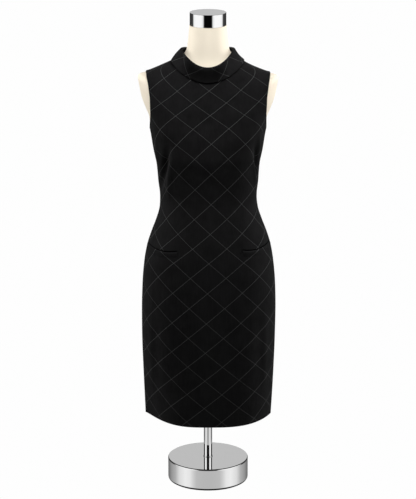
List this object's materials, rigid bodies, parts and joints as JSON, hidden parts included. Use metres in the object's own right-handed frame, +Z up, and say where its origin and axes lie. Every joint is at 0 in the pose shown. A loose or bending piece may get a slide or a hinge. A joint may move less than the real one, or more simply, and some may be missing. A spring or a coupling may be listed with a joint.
{
  "type": "sheath dress on a limbless dress form with stand",
  "caption": "Sleeveless knee-length sheath dress with a rolled collar and slit pockets, worn by a limbless dress form on a pole and a round weighted base.",
  "frame": {"origin": "centre of the round base's underside, on the floor", "axes": "+Z up the pole and the body, -Y towards the dress's front, +X towards the wearer's left"},
  "size_m": [0.3678, 0.2604, 1.2913],
  "materials": {
    "cloth": "matt black with a thin grey bias windowpane",
    "jersey": "cream jersey, stretched smooth",
    "chrome": "polished",
    "zip_enamel": "black enamel"
  },
  "bodies": {
    "dress_on_form": {"dress_front": "cloth", "dress_back_left": "cloth", "dress_back_right": "cloth", "collar": "cloth", "pocket_welt_left": "cloth", "pocket_welt_right": "cloth", "zip_slider": "zip_enamel", "form_body": "jersey", "neck_cap": "chrome", "pole": "chrome", "pole_ring": "chrome", "base": "chrome"},
    "zip_pull": {"zip_pull": "zip_enamel"}
  },
  "joints": [
    {"name": "zip_pull_hinge", "type": "hinge", "parent": "dress_on_form", "child": "zip_pull", "pos_m": [0, 0.09394, 1.14167], "axis": [1, 0, 0], "range_deg": [0, 140]}
  ]
}
